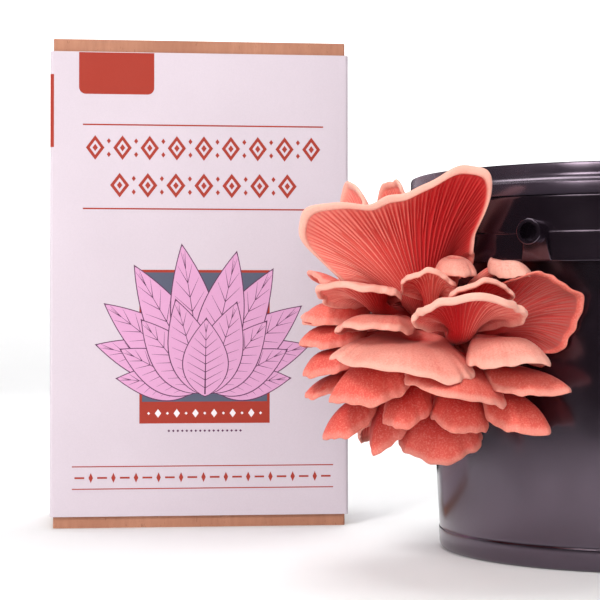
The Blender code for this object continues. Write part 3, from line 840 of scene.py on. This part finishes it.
# heading, lift, bank, hub from the cluster's middle, reach, half width (millimetres), form,
# seed, then what differs from the common values
# "open" is how far the gills stand open: mean, swing and the turn where they are widest; where
# open they are cut deeper and painted deep red as shade
# "lip" is how thick the rim's roll is, against the flesh, and "start" where the gills begin,
# as a share of the way to the rim
# "pale" is how pale a cap is drawn: above 0 paler, partly its own paleness and partly painted
# light on the high caps; below 0 deep red, painted shade on the low and shaded caps
mushrooms = {
    "top_mushroom_1": (30, 58, -34, (-13, -22.5, 15.6), 56, 38, lifted, 0.4, {
        "fan": 0.36, "lobes": (4, -0.16, -0.3), "back": 0.06, "root": (-11, -15, 14),
        "open": (0.45, 0.65, 1.05), "lip": 1.6, "start": 0.925, "pale": 1.0}),
    "top_mushroom_2": (72, 68, 0, (-29, 2, 26), 42, 22, lifted, 1.0, {"pale": 0.9}),
    "top_mushroom_3": (60, 80, 0, (-18, 1, 30), 39, 16, lifted, 2.0, {"pale": 0.9}),
    "top_mushroom_4": (0, -8, 0, (1.5, -41, 30.6), 17, 9, domed, 3.0, {"pale": 0.7}),
    "top_mushroom_5": (-54, -4, 0, (19.5, -38.2, 29.6), 17, 9, domed, 4.0, {
        "root": (13, -30, 24), "pale": 1.0}),
    "upper_mushroom_1": (84, 20, 0, (-38, -4, 17.5), 24, 16, lifted, 1.3, {"pale": 0.1}),
    "upper_mushroom_2": (42, 11, -5, (-30, -30.7, 14.1), 30.5, 19.8, lifted, 2.1, {
        "root": (-15, -10.4, 8), "open": (0.50, 0.50, 1.2), "lip": 1.6, "pale": 0.7}),
    "upper_mushroom_3": (12, 28, 0, (-8.5, -42.6, 16.2), 20.5, 12, lifted, 0.2, {
        "root": (-3, -20, 7), "open": (0.45, 0.45, -1.2), "lip": 1.5, "pale": 0.8}),
    "upper_mushroom_4": (80, -2, 0, (-40.2, -12, 10.4), 23, 14.6, domed, 1.8, {
        "back": 0.40, "pale": 0.1}),
    "upper_mushroom_5": (-16, 30, 0, (9, -46, 11.2), 20, 15, lifted, 0.7, {
        "root": (4, -20, 9), "open": (0.85, 0.15, 0.0), "lip": 1.5, "pale": 0.8}),
    "middle_mushroom_1": (-8, 19, 0, (4, -47.4, 3), 35, 24, lifted, 2.6, {
        "root": (1, -20, 3.5), "open": (0.50, 0.60, -0.9), "lip": 1.9, "pale": 1.0}),
    "middle_mushroom_2": (-78, 8, 60, (18, -36, 6), 38, 21, lifted, 0.9, {
        "back": 0.12, "root": (10, -20, 5.5), "lip": 1.0, "open": (0.08, 0.50, -2.1),
        "pale": -0.8}),
    "middle_mushroom_3": (38, 2, 0, (-23.5, -31, 5.8), 31, 17, shelf, 3.3, {
        "lip": 1.4, "pale": 0.5}),
    "middle_mushroom_4": (86, -6, 0, (-41, -11, 1.0), 23, 15, domed, 0.7, {
        "back": 0.34, "pale": -0.1}),
    "middle_mushroom_5": (20, -15, 8, (-15.6, -36.2, -2.9), 34, 31, shelf, 1.5, {"pale": 0.7}),
    "middle_mushroom_6": (-34, 0, 0, (15.1, -40, -6.4), 32, 19, domed, 2.9, {
        "back": 0.11, "pale": 0.7}),
    "middle_mushroom_7": (84, -14, 0, (-41, -12.5, -8.5), 24, 15, domed, 2.2, {
        "back": 0.32, "pale": -0.3}),
    "lower_mushroom_1": (-50, -12, 0, (20.3, -34, -14.3), 35, 18, shelf, 0.3, {
        "back": 0.13, "pale": 0.1}),
    "lower_mushroom_2": (-8, -22, 12, (1, -36, -11.5), 34, 23, shelf, 1.1, {"pale": 0.1}),
    "lower_mushroom_3": (51, -24, 0, (-26, -26, -8), 32, 20, hanging, 1.9, {
        "back": 0.12, "pale": -0.35}),
    "lower_mushroom_4": (84, -22, 0, (-40.8, -0.6, -16.8), 24, 15, shelf, 2.4, {"pale": -0.4}),
    "bottom_mushroom_1": (-52, -24, 0, (21, -30, -23), 30, 15, hanging, 0.6, {"pale": -0.25}),
    "bottom_mushroom_2": (-8, -36, 0, (4.5, -29, -21), 26, 13, hanging, 1.7, {"pale": -0.35}),
    "bottom_mushroom_3": (25, -36, 0, (-16, -28, -19.5), 25, 11, hanging, 2.8, {"pale": -0.55}),
    "bottom_mushroom_4": (5, -57, 0, (-2.5, -18, -30), 26, 19, hanging, 3.4, {"pale": -0.15}),
    "bottom_mushroom_5": (60, -55, 0, (-23, -12.8, -25.8), 28, 11, hanging, 0.1, {"pale": -0.6}),
    "bottom_mushroom_6": (80, -34, 0, (-33.5, -4, -25.5), 28, 14, hanging, 1.2, {"pale": -0.5}),
    "back_mushroom_1": (120, 37, 0, (-29, 16, 20), 29, 16, lifted, 0.5),
    "back_mushroom_2": (114, 8, 0, (-35, 14, 6.5), 30, 16, shelf, 1.4),
    "back_mushroom_3": (118, -16, 0, (-33, 15, -6.5), 30, 18, shelf, 2.5),
    "back_mushroom_4": (126, -44, 0, (-23, 15, -25), 28, 14, hanging, 3.6),
    "back_mushroom_5": (158, 4, 0, (-27, 38, 3), 25, 17, shelf, 0.8),
    "back_mushroom_6": (150, 28, 0, (-25, 30, 17), 26, 17, lifted, 1.6),
    "back_mushroom_7": (158, -30, 0, (-25, 31, -16), 25, 15, hanging, 2.7),
}
# the common values
usual = {"back": 0.16, "fan": 0.22, "lobes": (3, 0.05, 0.0), "lip": 1.15, "pale": 0.25,
         "start": 0.90}
# behind its hub a cap's edge stays above the stem, whose upper side starts thinner
rear = {"rise": 0.08, "spread": 3, "flat": 0.8}
# waves round a cap: size, how many, and how far its seed turns them
waves = {
    "outline": ((0.03, 6, 2.3),),
    "rimOutline": ((0.012, 11, 3.1), (0.008, 19, 5.3)),
    "ripple": ((0.6, 2, 1.7), (0.5, 5, 0.9)),
    "rimRipple": ((0.014, 9, 2.9), (0.008, 16, 4.1)),
}
fleshDepth = {"middle": 0.12, "thinning": 0.08, "least": 0.0016}
stalk = {
    "top": 0.12, "topLeast": 0.0023, "topMost": 0.0040, "topFlare": 1.7,
    "foot": 0.08, "footLeast": 0.0022, "footFlare": 1.3,
    "back": 0.30, "down": 0.12, "outward": 0.35,  # how its path bends
    "sunk": 0.4,  # how far its top lies under the flesh's middle, of its radius
}
gills = {
    "spacing": 0.0015, "rearSpacing": 1.35, "columns": 4, "depth": 0.50, "shutDepth": 0.18,
    "short": (0.52, 0.60), "shortest": (0.66, 0.74),  # where every 2nd and 4th one ends
    "flankShut": 0.80, "flankOpen": 0.58,
    "waver": 0.22, "waverBends": 6, "waverShift": 2.4,  # each gill's own sideways waves
}
rings = {  # of a mushroom, from the middle of its skin to its root
    "skin": 10, "lip": 5, "gills": 12, "neck": 6, "stem": 4,
    "lipDepth": 1.15,  # how deep the lip's roll is, of the flesh's depth
    # shares of the way to the rim: where the lip starts, where the underside starts to blend
    # into the stem and where the gills end, blended by this much
    "lipShare": 0.962, "joinShare": 0.58, "gillEnd": 0.30, "joinBlend": 0.55,
    "neckEnd": 0.45,  # the share of the stem's path where the gills have run out
}


def clusterCentre():
    return np.array(radial(cluster["heading"]) * cluster["out"]
                    + Vector((0, 0, cluster["height"])))


def unit(rows):
    return rows / np.linalg.norm(rows, axis=-1, keepdims=True)


def eased(value, low, high):
    share = np.clip((value - low) / (high - low), 0, 1)
    return share * share * (3 - 2 * share)


def rearShare(turn):
    return ((1 - np.cos(turn)) / 2) ** rear["spread"]


# the waves of one kind at each turn round a cap
def waved(kind, turn, seed):
    return sum(size * np.sin(count * turn + shift * seed)
               for size, count, shift in waves[kind])


class Cap:
    def __init__(self, heading, lift, bank, hub, reach, halfWidth, form, seed, more=None):
        traits = {**usual, "root": hub, "open": (0.55, 0.35, 2.0 * seed), **(more or {})}
        turn, rise, roll = radians(heading), radians(lift), radians(bank)
        self.forward = np.array((-sin(turn) * cos(rise), -cos(turn) * cos(rise), sin(rise)))
        levelUp = np.array((sin(turn) * sin(rise), cos(turn) * sin(rise), cos(rise)))
        self.up = levelUp * cos(roll) + np.cross(levelUp, self.forward) * sin(roll)
        self.side = np.cross(self.up, self.forward)
        self.hub = clusterCentre() + np.array(hub) / 1000
        self.outward = unit(np.array(traits["root"], float))
        self.reach, self.halfWidth = reach / 1000, halfWidth / 1000
        self.behind = traits["back"] * self.reach
        self.size = (self.reach + self.halfWidth) / 2
        self.form, self.seed = form, seed
        self.fan, self.lobes, self.open = traits["fan"], traits["lobes"], traits["open"]
        self.lip, self.start, self.pale = traits["lip"], traits["start"], traits["pale"]

    def skin(self, share, turn):
        slope, roll, sag, wave = self.form
        count, depth, phase = self.lobes
        roll = roll + (slope - rear["rise"] - roll) * rearShare(turn)
        lobe = 1 + depth * np.cos(count * turn + phase) + waved("outline", turn, self.seed)
        edge = share ** 5
        lobe = lobe + edge * waved("rimOutline", turn, self.seed)
        middle, radius = (self.reach - self.behind) / 2, (self.reach + self.behind) / 2
        ahead = share * (middle + radius * np.cos(turn)) * lobe
        across = share * self.halfWidth * np.sin(turn) * (1 + self.fan * np.cos(turn)) * lobe
        height = (slope * share - roll * share ** 3 - sag * (share * np.sin(turn)) ** 2
                  + wave * share ** 2.2 * waved("ripple", turn, self.seed)
                  + edge * waved("rimRipple", turn, self.seed)) * self.size
        return (self.hub + ahead[:, None] * self.forward + across[:, None] * self.side
                + height[:, None] * self.up)

    def thickness(self, share):
        depth = fleshDepth["middle"] - fleshDepth["thinning"] * share
        return np.maximum(fleshDepth["least"], self.size * depth)

    def stem(self, along, turn):
        top = max(stalk["topLeast"], min(stalk["top"] * self.size, stalk["topMost"]))
        foot = max(stalk["footLeast"], stalk["foot"] * self.size)
        start = self.hub - self.up * (self.thickness(0.0) * 0.5 + top * stalk["sunk"])
        top, foot = top * stalk["topFlare"], foot * stalk["footFlare"]
        root = clusterCentre() + self.outward * (cluster["baseRadius"] + cluster["rootGap"])
        length = np.linalg.norm(start - root)
        bend = start - self.forward * length * stalk["back"] - self.up * length * stalk["down"]
        rise = root + self.outward * length * stalk["outward"]
        gone, rest = along[:, None], 1 - along[:, None]
        place = (start * rest ** 3 + bend * 3 * rest ** 2 * gone
                 + rise * 3 * rest * gone ** 2 + root * gone ** 3)
        heading = unit((bend - start) * rest ** 2 + (rise - bend) * 2 * rest * gone
                       + (root - rise) * gone ** 2)
        low = unit(np.cross(heading, self.side))
        side = np.cross(low, heading)
        radius = (top + (foot - top) * along) * (1 - rear["flat"] * rearShare(turn) * (1 - along))
        radius = radius[:, None]
        return place + (low * np.cos(turn)[:, None] + side * np.sin(turn)[:, None]) * radius


# for each ring from the cap's middle to the root: share of the way to the rim, depth in the
# flesh, share of the stem's path, blend into the stem, gill height, underside
def ringPlan(lip, start):
    edge, inner, blend = rings["lipShare"], rings["gillEnd"], rings["joinBlend"]
    plan = [(0.0, 0.0, 0.0, 0.0, 0.0, 0.0)]
    for step in range(1, rings["skin"] + 1):
        plan.append((edge * (step / rings["skin"]) ** 0.8, 0.0, 0.0, 0.0, 0.0, 0.0))
    for step in range(1, rings["lip"] + 1):
        turn = pi * step / rings["lip"]
        plan.append((edge + (1 - edge) * sin(turn), (1 - cos(turn)) / 2 * rings["lipDepth"] * lip,
                     0.0, 0.0, 0.0, 0.0))
    # the lip's underside, up to where the gills start
    for part, depth, ridge, under in ((0.3, 1.20 * lip, 0, 0.05), (0.58, 1.12 * lip, 0, 0.2),
                                      (0.8, 1.0, 0.1, 0.9)):
        plan.append((edge + (start - edge) * part, depth, 0.0, 0.0, ridge, under))
    for step in range(rings["gills"] + 1):
        share = start + (inner - start) * (step / rings["gills"])
        joined = min(1, max(0, (rings["joinShare"] - share) / (rings["joinShare"] - inner)))
        plan.append((share, 1.0, 0.0, blend * joined ** 1.4, min(1.0, 0.4 + 0.4 * step), 1.0))
    for step in range(1, rings["neck"] + 1):
        part = step / rings["neck"]
        plan.append((inner, 1.0, rings["neckEnd"] * part, blend + (1 - blend) * part, 1 - part,
                     1.0))
    for step in range(1, rings["stem"] + 1):
        along = rings["neckEnd"] + (1 - rings["neckEnd"]) * step / rings["stem"]
        plan.append((inner, 1.0, along, 1.0, 0.0, 1.0))
    plan.append((inner, 1.0, 1.0, 1.0, 0.0, 1.0))
    return np.array(plan)


# each gill takes four columns: its crest, a flank, the valley and the other flank
def makeMushroom(name, spec, flesh):
    cap = Cap(*spec)
    long, wide = (cap.reach + cap.behind) / 2, cap.halfWidth
    around = pi * (3 * (long + wide) - np.sqrt((3 * long + wide) * (long + 3 * wide)))
    spacing = gills["spacing"] * (gills["rearSpacing"] if name.startswith("back") else 1.0)
    gillCount = 2 * round(around / spacing / 2)
    segments = gillCount * gills["columns"]
    plan = ringPlan(cap.lip, cap.start)
    last = len(plan) - 1
    clearSelection()
    bpy.ops.mesh.primitive_uv_sphere_add(segments=segments, ring_count=last, radius=1.0)
    piece = nameActive(name.replace("mushroom", "cap"))
    mesh = piece.data
    place = np.zeros(len(mesh.vertices) * 3)
    mesh.vertices.foreach_get("co", place)
    x, y, z = place.reshape(-1, 3).T
    ring = np.rint((0.5 - np.arcsin(np.clip(z, -1, 1)) / pi) * last).astype(int)
    column = np.rint(np.arctan2(y, x) / (2 * pi) * segments).astype(int) % segments
    share, depth, along, blend, ridge, under = plan[ring].T
    gill, phase = column // gills["columns"], column % gills["columns"]
    mean, swing, widest = cap.open
    openAndShaded = np.clip(mean + swing * np.cos(2 * pi * column / segments - widest), 0, 1)
    flank = gills["flankShut"] - gills["flankOpen"] * openAndShaded
    crest = np.where(phase == 0, 1.0, np.where(phase == 2, 0.0, flank))
    short = np.where(gill % 2 == 1, eased(share, *gills["short"]), 1.0)
    shortest = np.where(gill % 4 == 3, eased(share, *gills["shortest"]), 1.0)
    height = crest * short * shortest
    shift = gills["waver"] * np.sin(gills["waverBends"] * share + gills["waverShift"] * gill
                                    + cap.seed)
    shift = shift * (ridge > 0.3) * (blend < 0.3)
    turn = 2 * pi * (column + shift * gills["columns"] * 0.5) / segments
    surface = cap.skin(share, turn)
    least = gills["shutDepth"]
    cut = gills["depth"] * (least + (1 - least) * openAndShaded) * (1 - height) * ridge
    surface = surface - (cap.thickness(share) * depth * (1 - cut))[:, None] * cap.up
    placed = surface * (1 - blend[:, None]) + cap.stem(along, turn) * blend[:, None]
    placed[ring == last] = cap.stem(np.ones(2), np.array((0.0, pi))).mean(0)
    mesh.vertices.foreach_set("co", placed.ravel())
    # inner is 1 near the cluster's middle, where it paints the flesh deep red as shade between
    # the crowded caps
    inner = 1 - eased(np.linalg.norm(placed - clusterCentre(), axis=1), *cluster["heartShade"])
    groove = np.where(ridge > 0, 1 - ridge * (1 - height), 1.0)
    for label, values in (
            ("gillTone", (groove, under, share)),
            ("toneAndShade", (openAndShaded, inner, np.full(len(placed), cap.pale))),
            ("wedge", (np.cos(turn), np.sin(turn), share + cap.seed))):
        layer = mesh.attributes.new(label, "FLOAT_VECTOR", "POINT")
        layer.data.foreach_set("vector", np.stack(values, axis=1).ravel())
    mesh.update()
    mesh.shade_smooth()
    dress(piece, flesh)
    standsFor(piece, "mushroom_flesh", name)
    return len(mesh.polygons)


fleshTones = {  # screen colours
    "skinInner": (196, 24, 24), "skinOuter": (220, 98, 82), "pale": (228, 168, 151),
    "deep": (160, 14, 16), "cloud": (214, 84, 74), "streak": (204, 62, 54),
    "speckLight": (245, 180, 163), "speckDark": (188, 44, 38), "heartShade": (186, 20, 24),
    "crest": (250, 172, 156), "crestOpenShade": (232, 112, 100), "crestRim": (236, 126, 112),
    "crestWideShade": (192, 34, 34), "crestShade": (140, 38, 36), "valley": (236, 112, 98),
    "valleyOpenShade": (186, 4, 14), "valleyShade": (150, 14, 18), "gillStreak": (204, 44, 40),
    "gillHeartShade": (174, 10, 18), "hollow": (178, 14, 20),
    "baseDark": (150, 26, 26), "baseLight": (196, 74, 66),
    "groundsDark": (38, 24, 18), "groundsLight": (84, 58, 42),
}
tones = {name: linear(*color) for name, color in fleshTones.items()}


def mushroomFlesh():
    finish = Finish("mushroomFlesh", roughness=0.62, specular=0.35)
    groove, under, share = finish.parts("gillTone")
    openAndShaded, inner, pale = finish.parts("toneAndShade")
    wedge = finish.add("ShaderNodeAttribute", attribute_name="wedge").outputs["Vector"]
    streak = finish.noise(11, 3, 0.6, place=finish.stretched((1, 1, 0.10), place=wedge))
    cloud = finish.noise(60, 3, 0.55)
    grain = finish.noise(480, 3, 0.6)
    fine = finish.noise(1250, 2, 0.65)
    spread, times = finish.spread, finish.times
    # a cap's pale above 0 lightens its skin, partly as painted light; below 0 it deepens skin and
    # gills to red as painted shade
    paleAndLit = times(finish.math("MAXIMUM", pale), spread(share, -0.10, 0.40, soft=True))
    paintedShade = spread(pale, 0.0, -1.0)
    calm = spread(pale, 0.2, 0.8, 0.40, 0.16)
    rim = times(spread(share, 0.91, 0.99, soft=True), spread(pale, -1.0, 1.0, 0.20, 0.85))
    # the skin runs from deep red at the hub to coral further out, partly its own colour and
    # partly painted shade near the stems
    skin = finish.layers(
        tones["skinInner"],
        (spread(share, 0.25, 1.0, soft=True), tones["skinOuter"]),
        (paleAndLit, tones["pale"]),
        (times(paintedShade, spread(share, 1.0, 0.60)), tones["deep"]),
        (times(spread(cloud, 0.42, 0.72), calm), tones["cloud"]),
        (times(spread(streak, 0.48, 0.72), calm), tones["streak"]),
        (spread(fine, 0.50, 0.70, 0.0, 0.30), tones["speckLight"]),
        (spread(fine, 0.48, 0.34, 0.0, 0.24), tones["speckDark"]),
        (times(rim, spread(cloud, 0.35, 0.60, 0.72, 1.0)), tones["pale"]),
        # painted shade: the skin turns deep red near the cluster's middle
        (times(inner, 0.85), tones["heartShade"]))
    # painted shade: the gills' valleys are darker than their crests, and both darken to deep red
    # where the gills stand open
    crest = finish.layers(
        tones["crest"],
        (openAndShaded, tones["crestOpenShade"]),
        (spread(share, 0.40, 0.90, 0.0, 0.45), tones["crestRim"]),
        (spread(openAndShaded, 0.80, 1.0, 0.0, 0.85), tones["crestWideShade"]),
        (paintedShade, tones["crestShade"]))
    valley = finish.layers(
        tones["valley"], (openAndShaded, tones["valleyOpenShade"]), (paintedShade, tones["valleyShade"]))
    blade = finish.layers(
        valley,
        (spread(groove, 0.25, 0.95), crest),
        (spread(streak, 0.45, 0.70, 0.0, 0.35), tones["gillStreak"]),
        # painted shade: the gills turn deep red near the cluster's middle
        (times(finish.math("POWER", inner, 2.6), 0.90), tones["gillHeartShade"]))
    # painted shade: deep red laid into crevices and between caps, wherever ambient occlusion
    # finds them closed in
    hollow = finish.add("ShaderNodeAmbientOcclusion", {"Distance": 0.012}, samples=8)
    creviceShadeShare = spread(hollow.outputs["AO"], 0.75, 0.15, 0.0, 0.75)
    color = finish.layers(skin, (under, blade), (creviceShadeShare, tones["hollow"]))
    rough = finish.spread(fine, 0.3, 0.7, 0.55, 0.75)
    normal = finish.bump(fine, 0.25, 0.00025)
    normal = finish.bump(grain, 0.25, 0.0005, normal=normal)
    finish.fixed(Subsurface_Weight=0.15, Subsurface_Radius=(1.0, 0.22, 0.16),
                 Subsurface_Scale=0.003, Sheen_Weight=0.08, Sheen_Roughness=0.4,
                 Sheen_Tint=(1.0, 0.80, 0.75, 1.0))
    return finish.use(color=color, roughness=rough, normal=normal)


flesh = mushroomFlesh()
faces = sum(makeMushroom(name, spec, flesh) for name, spec in mushrooms.items())
print("mushrooms grown:", len(mushrooms), "with", faces, "faces")


def baseFlesh():
    finish = Finish("baseFlesh", roughness=0.7, specular=0.3)
    cloud = finish.spread(finish.noise(90, 4), 0.35, 0.7)
    grain = finish.noise(700, 3)
    finish.fixed(Subsurface_Weight=0.2, Subsurface_Radius=(1.0, 0.3, 0.2),
                 Subsurface_Scale=0.004)
    return finish.use(color=finish.mix(cloud, tones["baseDark"], tones["baseLight"]),
                      normal=finish.bump(grain, 0.3, 0.0006))


def coffeeGrounds():
    finish = Finish("coffeeGrounds", roughness=0.95, specular=0.2)
    grain = finish.noise(1100, 4, 0.7)
    cloud = finish.spread(grain, 0.35, 0.65)
    return finish.use(color=finish.mix(cloud, tones["groundsDark"], tones["groundsLight"]),
                      normal=finish.bump(grain, 0.6, 0.0015))


dress(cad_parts["cluster_base"], baseFlesh())
dress(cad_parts["coffee_grounds"], coffeeGrounds())
print("cluster base and grounds dressed")
